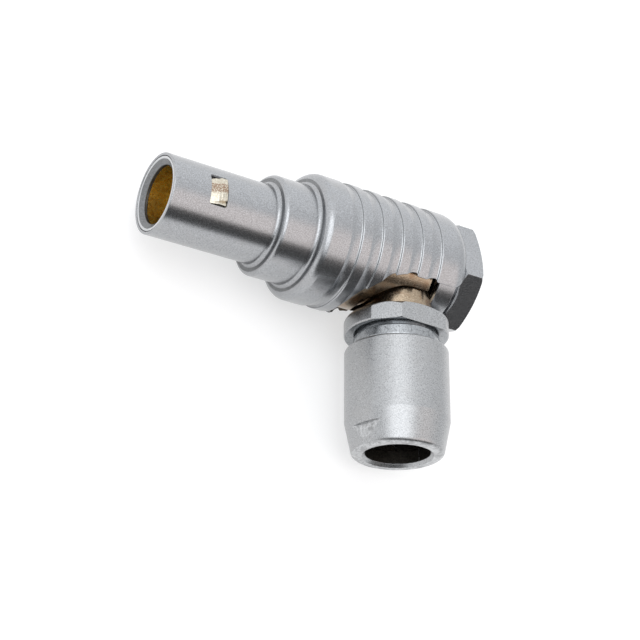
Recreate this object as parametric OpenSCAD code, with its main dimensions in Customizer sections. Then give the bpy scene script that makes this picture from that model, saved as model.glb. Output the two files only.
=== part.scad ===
// Right-angle push-pull coaxial plug: a sliding release sleeve with a hex rear
// cap over a fixed core, whose elbow carries a collet nut for the cable.
// The plug axis is X, with the nose towards -X. The elbow axis is parallel to Y,
// with the cable outlet towards -Y. The origin is the centre of the nose's mouth.

/* [Nose] */
// Outer diameter of the nose
nose_d = 9; // [8.6:0.1:9.6]
// Length of the nose, mouth to collar
nose_len = 12.85; // [12.2:0.05:14.5]
// Wall of the nose
nose_wall = 0.32; // [0.25:0.01:0.4]
// Rounding of the nose's front rim
nose_edge = 0.12; // [0.05:0.01:0.15]

/* [Collar] */
// Outer diameter of the collar behind the nose
collar_d = 11.45; // [11:0.05:12.2]
// Length of the collar
collar_len = 4.4; // [3.6:0.1:5.5]
// Wall of the collar
collar_wall = 0.95; // [0.7:0.05:1.1]
// Rounding of the collar's front edge
collar_edge = 0.5; // [0.1:0.05:0.6]

/* [Grip] */
// Outer diameter of the grip
grip_d = 14.54; // [14.1:0.02:15.4]
// Elbow axis to the grip's rear end
tail_setback = 5.15; // [4.6:0.05:6.5]
// Wall of the grip
grip_wall = 0.87; // [0.7:0.01:1]
// Rounding of the grip's front shoulder
grip_edge = 1.0; // [0.3:0.1:1.3]
// Length of the rounding at the grip's rear
tail_round_len = 1.75; // [0.8:0.05:2.2]
// Drop in radius of that rounding
tail_round_drop = 0.66; // [0.2:0.02:0.7]

/* [Grip grooves] */
// Number of grooves
groove_count = 5; // [3:1:5]
// Distance from one groove to the next
groove_pitch = 2.68; // [2.4:0.02:2.8]
// Depth of a groove
groove_depth = 0.22; // [0.1:0.02:0.35]
// Length of a groove, soft front to sharp rear edge
groove_len = 1.45; // [1:0.05:1.8]
// Grip's front to the sharp edge of the first groove
groove_first = 4.6; // [3:0.1:5]

/* [Sleeve slot] */
// Width of the slot that clears the elbow's neck
slot_w = 12; // [10.6:0.1:12.4]
// Centre of the slot's round end, ahead of the elbow axis
slot_setback = 2; // [1.4:0.1:2.6]

/* [Release travel] */
// How far the sleeve slides back
travel = 1; // [0.6:0.1:1.2]
// Spare room past each end of the travel
travel_spare = 0.1; // [0.05:0.05:0.3]
// Radial clearance between the sleeve and the core
slide_gap = 0.06; // [0.03:0.01:0.1]

/* [Latch] */
// Front edge of the latch windows, from the mouth
window_x = 4.35; // [3.85:0.05:5]
// Length of a window along the nose
window_len = 2.05; // [1.8:0.05:2.6]
// Width of a window
window_w = 3.5; // [2.8:0.1:3.6]
// Corner radius of a window
window_corner = 0.25; // [0.1:0.05:0.5]
// Height of the latch hook above the nose
hook_rise = 0.16; // [0.1:0.01:0.2]
// Clearance round the hook in its window
hook_gap = 0.1; // [0.05:0.01:0.2]
// Width of a latch arm
arm_w = 3; // [2.4:0.1:3.1]
// Thickness of a latch arm
arm_t = 0.25; // [0.2:0.01:0.28]
// Latch pivot, from the mouth
pivot_x = 12.2; // [11.5:0.1:13]
// Radius of the round root that the latch turns on
pivot_r = 0.2; // [0.17:0.01:0.22]
// Running clearance of the latch in the carrier
arm_gap = 0.05; // [0.03:0.01:0.08]

/* [Rear cap] */
// How far the hexagon's corners reach past the sleeve's bore
cap_lip = 0.53; // [0.4:0.01:0.8]
// Length of the cap's hexagon
cap_len = 2.85; // [2.4:0.05:4]
// Turn of the hexagon about the plug axis, a corner from +Z towards -Y
cap_turn = 18.3; // [0:0.1:60]
// Front of the cap's spigot, behind the elbow axis
spigot_setback = 2.3; // [2:0.1:3]
// Wall of the spigot
spigot_wall = 0.9; // [0.6:0.05:1]
// Length of the relief groove behind the spigot
cap_relief = 0.35; // [0.2:0.05:0.6]
// Depth of the relief groove
cap_relief_depth = 0.3; // [0.15:0.05:0.4]
// Length of the shoulder between the relief groove and the hexagon
cap_shoulder = 0.2; // [0.1:0.05:0.4]
// Chamfer of the hexagon's rear, along the axis
cap_chamfer = 0.6; // [0.3:0.05:0.9]
// Clearance round the neck in the spigot's saddle
saddle_gap = 0.2; // [0.1:0.05:0.3]

/* [Core] */
// Wall of the inner housing
housing_wall = 0.6; // [0.5:0.05:0.9]
// Rear end of the inner housing, behind the elbow axis
housing_rear = 1.3; // [1:0.1:1.6]
// Width of the housing's slot
housing_slot_w = 8.8; // [7.4:0.1:9.2]
// Centre of that slot's round end, ahead of the elbow axis
housing_slot_setback = 1; // [0.6:0.1:1.6]
// Thickness of the housing's front wall
housing_front = 2.5; // [2:0.1:3]
// Wall of the latch carrier at its rear
carrier_wall = 0.8; // [0.6:0.05:1]
// Length of the carrier's rear that stands inside the housing's bore
carrier_tail = 2.6; // [2:0.1:3.5]
// Chamfer inside the carrier's front, which shows in the mouth
carrier_lip = 0.45; // [0.3:0.05:0.55]
// Assembly clearance between fixed pieces
fit_gap = 0.02; // [0.01:0.01:0.04]

/* [Contacts] */
// Inner diameter of the outer contact
contact_bore = 6.5; // [6.2:0.05:6.55]
// Wall of the outer contact
contact_wall = 0.2; // [0.15:0.01:0.22]
// Front of the outer contact, from the mouth
contact_front = 0.6; // [0.3:0.1:1]
// Diameter of the centre pin
pin_d = 1.3; // [1:0.1:1.6]
// Tip of the centre pin, from the mouth
pin_tip_x = 4.8; // [4.6:0.1:6]
// Front of the front insulator, from the mouth
insulator_x = 9.6; // [8.6:0.1:11]
// Thickness of the flanges that locate the outer contact and the pin
contact_flange = 0.8; // [0.6:0.05:1]
// Height of the pin's flange above the pin
pin_shoulder = 0.85; // [0.6:0.05:1.1]
// Thickness of the ring that locks the insulators
insert_ring_t = 1; // [0.7:0.05:1.3]
// Wall of the terminal's block round the pin
terminal_wall = 0.6; // [0.4:0.05:0.7]
// Length of the terminal's block, elbow axis to its front
terminal_reach = 2.8; // [2.4:0.1:3.2]
// Diameter of the terminal's solder cup
cup_d = 1.9; // [1.6:0.1:2.2]
// Wall of the solder cup
cup_wall = 0.33; // [0.25:0.01:0.4]
// Depth of the solder cup
cup_depth = 1.8; // [1.2:0.1:2.4]

/* [Elbow] */
// Grip's front to the elbow axis
elbow_offset = 13.95; // [13.6:0.05:14.6]
// Diameter of the elbow's neck
neck_d = 6.2; // [5.8:0.1:6.4]
// Bore of the neck
neck_bore = 4.4; // [4:0.1:4.6]
// Diameter of the elbow body
elbow_d = 9.4; // [9:0.1:9.8]
// Bore of the elbow body
elbow_bore = 6.6; // [6:0.1:6.8]
// Length of the flange at the elbow body's front
elbow_flange = 2; // [1.5:0.1:2.2]
// Thickness of the plug that closes the elbow body
plug_t = 1.4; // [1:0.1:1.6]
// Width of the screwdriver slots
driver_slot = 0.6; // [0.4:0.05:0.8]

/* [Outlet hexagon] */
// Clearance from the cap's corners to the top of the outlet hexagon
hex_clear = 0.17; // [0.1:0.01:0.8]
// Diameter over the hexagon's corners
hex_corner_d = 11.9; // [11.5:0.1:12.6]
// Height of the hexagon
hex_h = 1.93; // [1.4:0.01:2.6]
// Turn of the hexagon about the elbow axis, a corner from +X towards +Z
hex_turn = 56.7; // [0:0.1:60]
// Diameter of the relief below the hexagon
relief_d = 9.6; // [9.4:0.1:10.2]
// Height of the relief
relief_h = 1.83; // [1.2:0.01:2.4]
// Length of the outlet body's thread, in the nut
outlet_thread = 6.14; // [5.6:0.02:6.8]
// Wall of the outlet body over the cable clamp
outlet_wall = 0.95; // [0.7:0.05:1.1]
// How far the neck's threaded end reaches past the hexagon
neck_reach = 1.3; // [1:0.1:1.6]
// Step from the neck down to its threaded end
neck_step = 0.3; // [0.2:0.05:0.4]

/* [Collet nut] */
// Outer diameter of the nut
nut_d = 11.76; // [11.5:0.02:12.4]
// Length of the nut
nut_len = 12.24; // [11.8:0.02:13.4]
// Top of the nut to the start of its taper
taper_start = 8.43; // [7.8:0.01:8.8]
// Diameter at the taper's end
taper_d = 10.4; // [10:0.05:10.8]
// Rounding at the nut's end
nut_end_round = 0.6; // [0.3:0.05:0.8]
// How far the cable outlet's wall lies inside the nut's body, on the radius
outlet_inset = 2.26; // [2.2:0.02:2.4]
// Chamfer of the cable outlet
outlet_chamfer = 0.35; // [0.15:0.05:0.4]
// Wall of the nut over its thread
nut_wall = 1.1; // [0.9:0.05:1.3]
// Length of the straight stretch of the outlet
outlet_land = 1.5; // [1.2:0.05:1.8]
// Size across the nut's two wrench flats
flats_af = 10.52; // [10.2:0.02:10.8]
// Length of the wrench flats, from the nut's end
flats_len = 2.5; // [1.8:0.1:3]
// Turn of the flats about the elbow axis, from +Z towards -X
flats_turn = 76; // [0:1:90]

/* [Cable clamp] */
// How much wider than the cable outlet the collet is bored, on the radius
collet_ease = 0.2; // [0.18:0.01:0.25]
// Number of slots in the collet
collet_slots = 6; // [4:1:8]
// Width of a collet slot
collet_slot_w = 0.5; // [0.3:0.05:0.8]
// How far the collet's tip stands out from the cable outlet's wall
collet_tip = 0.5; // [0.35:0.05:0.7]
// How far the ground cone's bore lies inside its flange's edge
cone_inset = 1.86; // [1.8:0.02:2]
// Length of the ground cone
cone_len = 4; // [3:0.1:4.5]
// Thickness of the cone's flange
cone_flange = 0.8; // [0.5:0.05:1]
// Wall of the cone at its tip
cone_tip_wall = 0.3; // [0.2:0.05:0.5]
// Gap for the braid between the cone and its ring
braid_gap = 0.35; // [0.2:0.05:0.5]

/* [Hidden] */
$fn = 96;
over = 1;          // how far a cut runs past what it cuts

// stations along the plug axis
collar_x = nose_len;
grip_x = collar_x + collar_len;
elbow_x = grip_x + elbow_offset;
tail_x = elbow_x + tail_setback;
collar_bore_x = collar_x + collar_wall + 0.2;
grip_bore_x = grip_x + grip_wall + 0.2;
carrier_step_x = collar_bore_x + travel + travel_spare;
housing_x = grip_bore_x + travel + travel_spare;
housing_bore_x = housing_x + housing_front;
housing_end_x = elbow_x + housing_rear;
carrier_x = 0.05;
seat_x = carrier_step_x + 0.1;          // shoulder that the outer contact's flange seats on
contact_end_x = seat_x + contact_flange;
pin_flange = contact_flange - 0.2;
carrier_end_x = housing_bore_x + carrier_tail;
insert_x = carrier_end_x - insert_ring_t - 0.1;
elbow_body_x = carrier_end_x + 0.3;
elbow_end_x = tail_x - travel_spare / 2;
plug_x = elbow_end_x - plug_t - 0.1;
terminal_x = elbow_x - terminal_reach;
pin_end_x = elbow_x - cup_d / 2 - 0.25;

// radii about the plug axis
nose_r = nose_d / 2;
nose_bore_r = nose_r - nose_wall;
collar_r = collar_d / 2;
collar_bore_r = collar_r - collar_wall;
grip_r = grip_d / 2;
grip_bore_r = grip_r - grip_wall;
carrier_r = nose_bore_r - slide_gap;
carrier_rear_r = collar_bore_r - slide_gap;
carrier_rear_bore_r = carrier_rear_r - carrier_wall;
housing_r = grip_bore_r - slide_gap;
housing_bore_r = housing_r - housing_wall;
contact_bore_r = contact_bore / 2;
contact_r = contact_bore_r + contact_wall;
carrier_bore_r = contact_r + fit_gap;
pin_r = pin_d / 2;
pin_flange_r = pin_r + pin_shoulder;
cap_corner_r = grip_bore_r + cap_lip;
spigot_r = grip_bore_r - slide_gap;
spigot_bore_r = spigot_r - spigot_wall;
neck_r = neck_d / 2;
elbow_r = elbow_d / 2;
elbow_bore_r = elbow_bore / 2;
plug_r = (elbow_bore_r + elbow_r) / 2 - 0.1;

// latch
hook_x = window_x + hook_gap;
hook_end_x = window_x + window_len - hook_gap;
hook_r = nose_r + hook_rise;
arm_top_r = carrier_r;
arm_bottom_r = arm_top_r - arm_t;
ramp_r = nose_r - 0.1;                  // hook's flank where the window's edge stops
ramp_x = window_x + travel + 0.05;
pivot_z = arm_bottom_r - pivot_r + 0.1;
root_w = arm_w - 0.6;

// stations down the elbow axis, measured from the plug axis
hex_stand = cap_corner_r + hex_clear;
hex_end = hex_stand + hex_h;
nut_top = hex_end + relief_h;
nut_end = nut_top + nut_len;
thread_end = nut_top + outlet_thread;
taper_y = nut_top + taper_start;
neck_end = hex_end + neck_reach;
outlet_face = nut_end - outlet_chamfer;
outlet_in = outlet_face - outlet_land;
cone_seat = taper_y - 0.1;
flats_top = nut_end - flats_len;

// radii about the elbow axis
hex_corner_r = hex_corner_d / 2;
relief_r = relief_d / 2;
nut_r = nut_d / 2;
nut_bore_r = nut_r - nut_wall;
outlet_thread_r = nut_bore_r - 0.05;
outlet_bore_r = outlet_thread_r - outlet_wall;
outlet_r = nut_r - outlet_inset;
neck_end_r = neck_r - neck_step;
collet_r = nut_bore_r - 0.07;
collet_bore_r = outlet_r + collet_ease;
collet_tip_r = outlet_r + collet_tip;
braid_r = outlet_bore_r - fit_gap;
cone_r = braid_r - cone_inset;
cone_foot_r = braid_r - 2 * braid_gap;
cup_r = cup_d / 2;

// points of a circular arc, a0 to a1 in degrees
function arc(c, r, a0, a1, n = 8) =
    [for (i = [0 : n]) c + r * [cos(a0 + (a1 - a0) * i / n), sin(a0 + (a1 - a0) * i / n)]];

// one grip groove: a long shallow hollow that ends at a steep rear edge
function groove(x, r, n = 6) =
    let (flank = 0.28,
         run = groove_len - flank,
         hollow = (run * run + groove_depth * groove_depth) / (2 * groove_depth),
         a = asin(run / hollow))
    concat(arc([x - flank, r - groove_depth + hollow], hollow, 270 - a, 270, n),
           [[x - 0.09, r - 0.35 * groove_depth], [x - 0.03, r - 0.08 * groove_depth], [x + 0.05, r]]);

// solid turned about the plug axis, from points [x, radius]
module turned(points)
    rotate([0, 90, 0])
        rotate_extrude()
            polygon([for (p = points) [p[1], p[0]]]);

// solid turned about the elbow axis, from points [distance below the plug axis, radius]
module turned_down(points)
    translate([elbow_x, 0, 0])
        rotate([90, 0, 0])
            rotate_extrude()
                polygon([for (p = points) [p[1], p[0]]]);

module along_x(x0, x1, r)
    translate([x0, 0, 0])
        rotate([0, 90, 0])
            cylinder(h = x1 - x0, r = r);

module along_y(x, y0, y1, r)
    translate([x, -y0, 0])
        rotate([90, 0, 0])
            cylinder(h = y1 - y0, r = r);

// slot with a round front end, open to the rear on the -Y side
module neck_slot(w, x, x_end) {
    along_y(x, 0, grip_d, w / 2);
    translate([x, -grip_d, -w / 2])
        cube([x_end - x, grip_d, w]);
}

module rounded_rect(w, h, r) {
    translate([r, 0])
        square([w - 2 * r, h]);
    translate([0, r])
        square([w, h - 2 * r]);
    for (x = [r, w - r], y = [r, h - r])
        translate([x, y])
            circle(r = r, $fn = 32);
}

// ---- release sleeve ----

module outer_shell() color([0.72, 0.73, 0.75]) {
    tail_drop = min(tail_round_drop, grip_wall - 0.15);
    tail_arc = (tail_round_len * tail_round_len + tail_drop * tail_drop) / (2 * tail_drop);
    tail_angle = asin(tail_round_len / tail_arc);
    root = 0.15;
    difference() {
        turned(concat(
            [[0, nose_bore_r + 0.05]],
            arc([nose_edge, nose_r - nose_edge], nose_edge, 180, 90, 5),
            arc([collar_x - root, nose_r + root], root, 270, 360, 4),
            arc([collar_x + collar_edge, collar_r - collar_edge], collar_edge, 180, 90),
            arc([grip_x - root, collar_r + root], root, 270, 360, 4),
            arc([grip_x + grip_edge, grip_r - grip_edge], grip_edge, 180, 90, 10),
            [for (i = [0 : groove_count - 1])
                each groove(grip_x + groove_first + i * groove_pitch, grip_r)],
            arc([tail_x - tail_round_len, grip_r - tail_arc], tail_arc, 90, 90 - tail_angle, 12),
            [[tail_x, grip_bore_r],
             [grip_bore_x, grip_bore_r],
             [grip_bore_x, collar_bore_r],
             [collar_bore_x, collar_bore_r],
             [collar_bore_x, nose_bore_r],
             [0.05, nose_bore_r]]));
        neck_slot(slot_w, elbow_x - slot_setback, tail_x + over);
        translate([window_x, -window_w / 2, -nose_r - over])
            linear_extrude(height = nose_d + 2 * over)
                rounded_rect(window_len, window_w, window_corner);
    }
}

module rear_cap() color([0.7, 0.71, 0.73]) {
    end_x = tail_x + cap_len;
    front = elbow_x + spigot_setback;
    groove_x = tail_x - cap_shoulder - cap_relief;
    floor_x = tail_x + travel_spare / 2;
    bevel = 0.25;
    difference() {
        union() {
            intersection() {
                translate([tail_x, 0, 0])
                    rotate([cap_turn, 0, 0])
                        rotate([0, 90, 0])
                            cylinder(h = cap_len, r = cap_corner_r, $fn = 6);
                turned([[tail_x, 0],
                        [tail_x, cap_corner_r - 0.45],
                        [tail_x + 0.25, cap_corner_r],
                        [end_x - cap_chamfer, cap_corner_r],
                        [end_x - cap_chamfer / 5, cap_corner_r - 1.2 * cap_chamfer],
                        [end_x, cap_corner_r - 1.7 * cap_chamfer],
                        [end_x, 0]]);
            }
            turned([[front, spigot_bore_r],
                    [front, spigot_r - bevel],
                    [front + bevel, spigot_r],
                    [groove_x, spigot_r],
                    [groove_x, spigot_r - cap_relief_depth],
                    [tail_x - cap_shoulder, spigot_r - cap_relief_depth],
                    [tail_x - cap_shoulder, spigot_r],
                    [tail_x + over / 2, spigot_r - over / 2],
                    [tail_x + over / 2, spigot_bore_r]]);
        }
        along_x(front - over, floor_x, spigot_bore_r);
        along_y(elbow_x, 0, grip_d, neck_r + saddle_gap);
    }
}

// ---- latches ----

// spring arm with its hook at the front and a round root that it turns on
module latch_arm() {
    edge = 0.45;
    intersection() {
        turned([[hook_x, arm_bottom_r],
                [hook_x, arm_top_r - 0.02],
                [ramp_x, ramp_r],
                [ramp_x + 0.2, hook_r],
                [hook_end_x, hook_r],
                [hook_end_x, arm_top_r],
                [pivot_x, arm_top_r],
                [pivot_x, arm_bottom_r]]);
        translate([hook_x, 0, 0])
            rotate([90, 0, 90])
                linear_extrude(height = pivot_x - hook_x)
                    polygon([[-arm_w / 2, 0],
                             [arm_w / 2, 0],
                             [arm_w / 2, arm_top_r],
                             [arm_w / 2 - edge, hook_r - 0.02],
                             [0.3 - arm_w / 2 + edge, hook_r - 0.02],
                             [-arm_w / 2, arm_top_r - 0.1]]);
    }
    translate([pivot_x, root_w / 2, pivot_z])
        rotate([90, 0, 0])
            cylinder(h = root_w, r = pivot_r);
}

module latch_upper() color([0.78, 0.74, 0.62]) latch_arm();

module latch_lower() color([0.78, 0.74, 0.62]) rotate([180, 0, 0]) latch_arm();

// ---- fixed core ----

module latch_carrier() color([0.66, 0.64, 0.58]) {
    pocket_w = arm_w + 2 * arm_gap;
    difference() {
        turned([[carrier_x, carrier_bore_r + carrier_lip],
                [carrier_x, carrier_r - 0.08],
                [carrier_x + 0.08, carrier_r],
                [carrier_step_x, carrier_r],
                [carrier_step_x, carrier_rear_r - 0.15],
                [carrier_step_x + 0.15, carrier_rear_r],
                [carrier_end_x, carrier_rear_r],
                [carrier_end_x, carrier_rear_bore_r],
                [seat_x, carrier_rear_bore_r],
                [seat_x, carrier_bore_r],
                [carrier_x + carrier_lip, carrier_bore_r]]);
        translate([window_x - 0.05, -pocket_w / 2, -nose_r])
            cube([pivot_x - window_x + 0.05, pocket_w, nose_d]);
        for (side = [-1, 1])
            translate([pivot_x, root_w / 2 + arm_gap, side * pivot_z])
                rotate([90, 0, 0])
                    cylinder(h = root_w + 2 * arm_gap, r = pivot_r + arm_gap);
    }
}

module outer_contact() color([0.85, 0.65, 0.25])
    turned([[contact_front, contact_bore_r + 0.1],
            [contact_front, contact_r - 0.05],
            [contact_front + 0.05, contact_r],
            [seat_x, contact_r],
            [seat_x, carrier_rear_bore_r - fit_gap],
            [contact_end_x, carrier_rear_bore_r - fit_gap],
            [contact_end_x, contact_bore_r],
            [contact_front + 0.2, contact_bore_r]]);

module front_insulator() color([0.92, 0.91, 0.87])
    difference() {
        along_x(insulator_x, contact_end_x, contact_bore_r - fit_gap);
        along_x(insulator_x - over, contact_end_x + over, pin_r + fit_gap);
    }

module centre_contact() color([0.86, 0.68, 0.28])
    turned(concat(
        [[pin_tip_x, 0]],
        arc([pin_tip_x + pin_r, 0], pin_r, 180, 90, 6),
        [[contact_end_x, pin_r],
         [contact_end_x, pin_flange_r],
         [contact_end_x + pin_flange, pin_flange_r],
         [contact_end_x + pin_flange, pin_r],
         [pin_end_x, pin_r],
         [pin_end_x, 0]]));

module mid_insulator() color([0.9, 0.89, 0.85])
    difference() {
        along_x(contact_end_x, insert_x, carrier_rear_bore_r - fit_gap);
        along_x(contact_end_x - over, contact_end_x + pin_flange, pin_flange_r + fit_gap);
        along_x(contact_end_x, insert_x + over, pin_r + fit_gap);
    }

module insert_ring() color([0.8, 0.72, 0.5])
    difference() {
        along_x(insert_x, insert_x + insert_ring_t, carrier_rear_bore_r - fit_gap);
        along_x(insert_x - over, carrier_end_x + over, pin_flange_r + terminal_wall);
        translate([insert_x + 0.6 * insert_ring_t, -carrier_rear_r, -driver_slot / 2])
            cube([over, 2 * carrier_rear_r, driver_slot]);
    }

module inner_housing() color([0.74, 0.7, 0.58])
    difference() {
        turned([[housing_x, carrier_rear_r + fit_gap],
                [housing_x, housing_r - 0.3],
                [housing_x + 0.3, housing_r],
                [housing_end_x - 0.05, housing_r],
                [housing_end_x, housing_r - 0.05],
                [housing_end_x, housing_bore_r],
                [housing_bore_x, housing_bore_r],
                [housing_bore_x, carrier_rear_r + fit_gap]]);
        neck_slot(housing_slot_w, elbow_x - housing_slot_setback, housing_end_x + over);
    }

module elbow_body() color([0.74, 0.7, 0.6])
    difference() {
        union() {
            turned([[elbow_body_x, 0],
                    [elbow_body_x, housing_bore_r - fit_gap],
                    [elbow_body_x + elbow_flange, housing_bore_r - fit_gap],
                    [elbow_body_x + elbow_flange, elbow_r],
                    [elbow_end_x - 0.3, elbow_r],
                    [elbow_end_x, elbow_r - 0.3],
                    [elbow_end_x, 0]]);
            along_y(elbow_x, 0, hex_stand, neck_r);
            along_y(elbow_x, 0, neck_end, neck_end_r);
        }
        along_x(elbow_body_x - over, elbow_end_x + over, elbow_bore_r);
        along_x(plug_x, elbow_end_x + over, plug_r);
        along_y(elbow_x, 0, neck_end + over, neck_bore / 2);
    }

module rear_insulator() color([0.9, 0.89, 0.85])
    difference() {
        along_x(elbow_body_x, terminal_x - fit_gap, elbow_bore_r - fit_gap);
        along_x(elbow_body_x - over, terminal_x, pin_r + fit_gap);
    }

// block that grips the pin's tail and turns the signal down to a solder cup
module elbow_terminal() color([0.85, 0.66, 0.28]) {
    cup_end = hex_stand - cup_wall;
    difference() {
        union() {
            along_x(terminal_x, elbow_x + cup_r, pin_r + terminal_wall);
            along_y(elbow_x, 0, cup_end, cup_r);
        }
        along_x(terminal_x - over, pin_end_x + fit_gap, pin_r + fit_gap);
        along_y(elbow_x, cup_end - cup_depth, cup_end + over, cup_r - cup_wall);
    }
}

module neck_insulator() color([0.92, 0.91, 0.88])
    difference() {
        along_y(elbow_x, elbow_bore_r - terminal_wall, neck_end, neck_bore / 2 - fit_gap);
        along_y(elbow_x, 0, neck_end + over, cup_r + fit_gap);
    }

module access_plug() color([0.76, 0.72, 0.6])
    difference() {
        along_x(plug_x, elbow_end_x - 0.1, plug_r - fit_gap);
        translate([elbow_end_x - plug_t / 2, -elbow_r, -driver_slot / 2])
            cube([plug_t, elbow_d, driver_slot]);
    }

// ---- cable outlet ----

module outlet_body() color([0.71, 0.72, 0.74]) {
    bevel = 0.35;
    difference() {
        union() {
            intersection() {
                along_hex();
                turned_down([[hex_stand, 0],
                             [hex_stand, hex_corner_r - 0.75],
                             [hex_stand + 0.3, hex_corner_r],
                             [hex_end - 0.1, hex_corner_r],
                             [hex_end, hex_corner_r - 0.25],
                             [hex_end, 0]]);
            }
            turned_down([[hex_end - 0.2, neck_end_r],
                         [hex_end - 0.2, relief_r],
                         [nut_top, relief_r],
                         [nut_top, outlet_thread_r],
                         [thread_end - bevel, outlet_thread_r],
                         [thread_end, outlet_thread_r - bevel],
                         [thread_end, neck_end_r]]);
        }
        along_y(elbow_x, hex_stand - over, thread_end + over, neck_end_r + fit_gap);
        along_y(elbow_x, neck_end, thread_end + over, outlet_bore_r);
    }
}

module along_hex()
    translate([elbow_x, -hex_stand, 0])
        rotate([0, -hex_turn, 0])
            rotate([90, 0, 0])
                cylinder(h = hex_h, r = hex_corner_r, $fn = 6);

module ground_cone() color([0.78, 0.74, 0.62])
    turned_down([[neck_end, cone_r],
                 [neck_end, braid_r],
                 [neck_end + cone_flange, braid_r],
                 [neck_end + cone_flange, cone_foot_r],
                 [neck_end + cone_len, cone_r + cone_tip_wall],
                 [neck_end + cone_len, cone_r]]);

// ring whose cone presses the cable's braid on to the ground cone
module braid_ring() color([0.76, 0.72, 0.6])
    turned_down([[neck_end + 2 * cone_flange, cone_foot_r],
                 [neck_end + 2 * cone_flange, braid_r],
                 [thread_end, braid_r],
                 [thread_end, cone_r + cone_tip_wall + 2 * braid_gap],
                 [neck_end + cone_len, cone_r + cone_tip_wall + braid_gap]]);

module collet() color([0.75, 0.7, 0.56])
    difference() {
        turned_down([[thread_end, collet_bore_r],
                     [thread_end, collet_r - 0.2],
                     [thread_end + 0.2, collet_r],
                     [cone_seat - 0.1, collet_r],
                     [outlet_in - 0.15, collet_tip_r - 0.06],
                     [outlet_in - 0.15, collet_bore_r]]);
        for (i = [0 : collet_slots - 1])
            translate([elbow_x, -thread_end - 0.9, 0])
                rotate([0, i * 360 / collet_slots, 0])
                    translate([0, -nut_len, -collet_slot_w / 2])
                        cube([nut_r, nut_len, collet_slot_w]);
    }

module collet_nut() color([0.72, 0.73, 0.75]) {
    top_edge = 0.3;
    difference() {
        turned_down(concat(
            [[nut_top, nut_bore_r]],
            arc([nut_top + top_edge, nut_r - top_edge], top_edge, 180, 90, 5),
            [[taper_y, nut_r]],
            arc([nut_end - nut_end_round, taper_d / 2 - nut_end_round], nut_end_round, 80, 0, 8),
            [[nut_end, outlet_r + outlet_chamfer],
             [outlet_face, outlet_r],
             [outlet_in, outlet_r],
             [outlet_in, collet_tip_r],
             [cone_seat, nut_bore_r]]));
        for (side = [0, 180])
            translate([elbow_x, 0, 0])
                rotate([0, side - flats_turn, 0])
                    translate([-nut_r, -nut_end - over, flats_af / 2])
                        cube([nut_d, flats_len + over, nut_r]);
    }
}

outer_shell();
rear_cap();
latch_upper();
latch_lower();
latch_carrier();
outer_contact();
front_insulator();
centre_contact();
mid_insulator();
insert_ring();
inner_housing();
elbow_body();
rear_insulator();
elbow_terminal();
neck_insulator();
access_plug();
outlet_body();
ground_cone();
braid_ring();
collet();
collet_nut();
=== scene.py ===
# Looks of a right-angle push-pull circular connector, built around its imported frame
import math

import bmesh
import bpy
from mathutils import Matrix, Vector


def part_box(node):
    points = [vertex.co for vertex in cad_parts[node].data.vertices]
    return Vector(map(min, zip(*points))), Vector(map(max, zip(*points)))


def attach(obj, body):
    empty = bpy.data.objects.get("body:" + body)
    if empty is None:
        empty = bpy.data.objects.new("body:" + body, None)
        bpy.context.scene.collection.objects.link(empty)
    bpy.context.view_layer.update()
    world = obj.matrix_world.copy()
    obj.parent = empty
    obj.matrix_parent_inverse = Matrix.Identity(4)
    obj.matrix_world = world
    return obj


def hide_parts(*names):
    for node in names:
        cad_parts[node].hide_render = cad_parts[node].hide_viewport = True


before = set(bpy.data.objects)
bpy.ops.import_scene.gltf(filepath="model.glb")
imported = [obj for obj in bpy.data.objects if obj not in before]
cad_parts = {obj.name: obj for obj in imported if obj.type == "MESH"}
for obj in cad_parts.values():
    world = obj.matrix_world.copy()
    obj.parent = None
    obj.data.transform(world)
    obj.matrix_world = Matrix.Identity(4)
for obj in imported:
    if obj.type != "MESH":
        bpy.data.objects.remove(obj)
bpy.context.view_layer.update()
print("frame loaded:", len(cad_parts), "nodes")

# Shapes are worked in millimetres and brought to metres when a piece is finished
mm = 1000


def nodeBox(node):
    low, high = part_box(node)
    return low * mm, high * mm


shellLow, shellHigh = nodeBox("outer_shell")
capLow, capHigh = nodeBox("rear_cap")
nutLow, nutHigh = nodeBox("collet_nut")
outletLow, outletHigh = nodeBox("outlet_body")
housingLow, housingHigh = nodeBox("inner_housing")
elbowLow, elbowHigh = nodeBox("elbow_body")
carrierLow, carrierHigh = nodeBox("latch_carrier")
contactLow, contactHigh = nodeBox("outer_contact")
latchLow, latchHigh = nodeBox("latch_upper")

elbowX = (nutLow.x + nutHigh.x) / 2      # the elbow's own axis, down which the cable leaves
spinSteps = 216

# Camera
cameraLook = {
    "place": (-0.06706, -0.08120, 0.13500),
    "right": (0.8358, 0.0079, 0.5489),
    "up": (-0.2295, 0.9134, 0.3363),
    "back": (-0.4987, -0.4071, 0.7652),
    "lens": 90.66,
}

cameraData = bpy.data.cameras.new("studioCamera")
cameraData.lens = cameraLook["lens"]
cameraData.sensor_width = 36
cameraData.clip_start = 0.001
cameraData.clip_end = 10
camera = bpy.data.objects.new("studioCamera", cameraData)
bpy.context.scene.collection.objects.link(camera)
turn = Matrix((cameraLook["right"], cameraLook["up"], cameraLook["back"])).transposed()
camera.matrix_world = Matrix.Translation(cameraLook["place"]) @ turn.to_4x4()
bpy.context.scene.camera = camera
bpy.context.scene.view_settings.view_transform = "Standard"


# Mesh helpers
def arcPoints(centre, radius, fromAngle, toAngle, steps=8):
    # points of a circular arc, angles in degrees
    points = []
    for i in range(steps + 1):
        a = math.radians(fromAngle + (toAngle - fromAngle) * i / steps)
        points.append((centre[0] + radius * math.cos(a), centre[1] + radius * math.sin(a)))
    return points


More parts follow.
